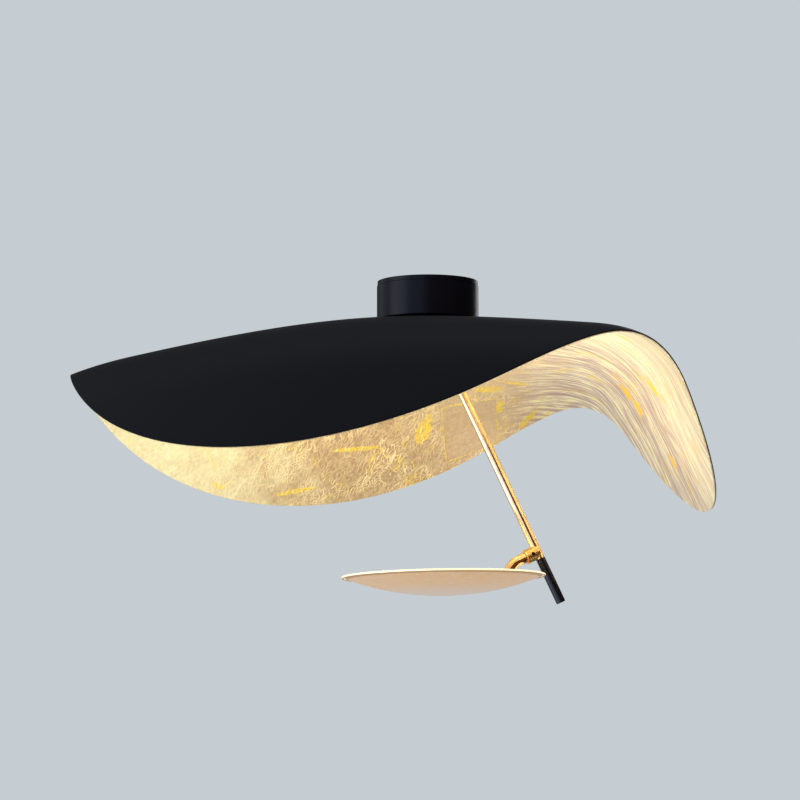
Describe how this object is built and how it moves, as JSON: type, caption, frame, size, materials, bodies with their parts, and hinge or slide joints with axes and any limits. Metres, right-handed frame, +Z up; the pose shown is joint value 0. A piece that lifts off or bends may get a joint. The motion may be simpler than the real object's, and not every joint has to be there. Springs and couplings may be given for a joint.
{
  "type": "ceiling light",
  "caption": "Ceiling light with a round canopy, a wide bent sheet shade lined in gold leaf, and a small dish that shines up into it from a leaning swivel stem.",
  "frame": {"origin": "centre of the mounting plate's top face, on the ceiling plane and on the canopy's axis", "axes": "+Z up through the ceiling, +X to the right of a viewer in front of the light, +Y away from that viewer"},
  "size_m": [0.5361, 0.5705, 0.2719],
  "materials": {
    "black_lacquer": "satin black lacquer on spun steel",
    "black_shade": "satin black lacquer on aluminium sheet",
    "gold_leaf": "crinkled gold-coloured metal leaf under varnish",
    "satin_brass": "satin turned brass",
    "polished_brass": "polished brass",
    "black_handle": "satin black lacquer on turned aluminium",
    "dish_finish": "warm champagne lacquer on spun aluminium",
    "opal_cover": "opal cover",
    "white_lacquer": "white lacquer",
    "plain_aluminium": "plain turned aluminium",
    "board_white": "white solder mask",
    "led_phosphor": "yellow phosphor",
    "zinc_steel": "zinc plated steel",
    "black_steel": "blackened steel",
    "driver_case": "moulded white plastic",
    "terminal_case": "moulded ivory plastic",
    "lead_insulation": "silicone insulation",
    "black_rubber": "moulded rubber",
    "white_nylon": "turned nylon"
  },
  "bodies": {
    "root": {"mounting_plate": "black_lacquer", "canopy_cover": "black_lacquer", "canopy_grub_screws": "black_steel", "led_driver": "driver_case", "driver_screws": "zinc_steel", "terminal_block": "terminal_case", "terminal_screws": "zinc_steel", "supply_leads": "lead_insulation", "output_leads": "lead_insulation", "earth_screw": "satin_brass", "earth_lead": "lead_insulation", "threaded_nipple": "zinc_steel", "upper_lock_nut": "zinc_steel", "shade_spacer": "black_rubber", "shade_shell": "black_shade", "gold_leaf_lining": "gold_leaf", "clamp_washer": "satin_brass", "shade_lock_nut": "satin_brass", "friction_washer": "white_nylon", "spring_washer": "zinc_steel", "swivel_nut": "satin_brass"},
    "swivel": {"swivel_base": "satin_brass", "knuckle_pin": "satin_brass", "knuckle_nut": "satin_brass", "knuckle_washers": "white_nylon"},
    "stem": {"stem_knuckle": "satin_brass", "stem_tube": "polished_brass", "stem_lead": "lead_insulation", "handle": "black_handle", "handle_stud": "zinc_steel", "tee_hub": "satin_brass", "hub_grub_screw": "black_steel"},
    "disc": {"elbow": "polished_brass", "elbow_lead": "lead_insulation", "dish": "dish_finish", "dish_boss": "satin_brass", "boss_screw": "black_steel", "carrier_posts": "plain_aluminium", "led_carrier": "plain_aluminium", "led_board": "board_white", "led_chips": "led_phosphor", "carrier_screws": "zinc_steel", "diffuser": "opal_cover", "diffuser_ring": "white_lacquer"}
  },
  "joints": [
    {"name": "stem_swivel", "type": "hinge", "parent": "root", "child": "swivel", "pos_m": [0, 0, 0], "axis": [0, 0, 1], "range_deg": [-170, 170]},
    {"name": "stem_tilt", "type": "hinge", "parent": "swivel", "child": "stem", "pos_m": [0.01399, 0, -0.062], "axis": [0, -1, 0], "range_deg": [-25, 25]},
    {"name": "disc_tilt", "type": "hinge", "parent": "stem", "child": "disc", "pos_m": [0.09154, 0, -0.22831], "axis": [-0.8517, -0.342, -0.3971], "range_deg": [-92.6, 87.4]}
  ]
}
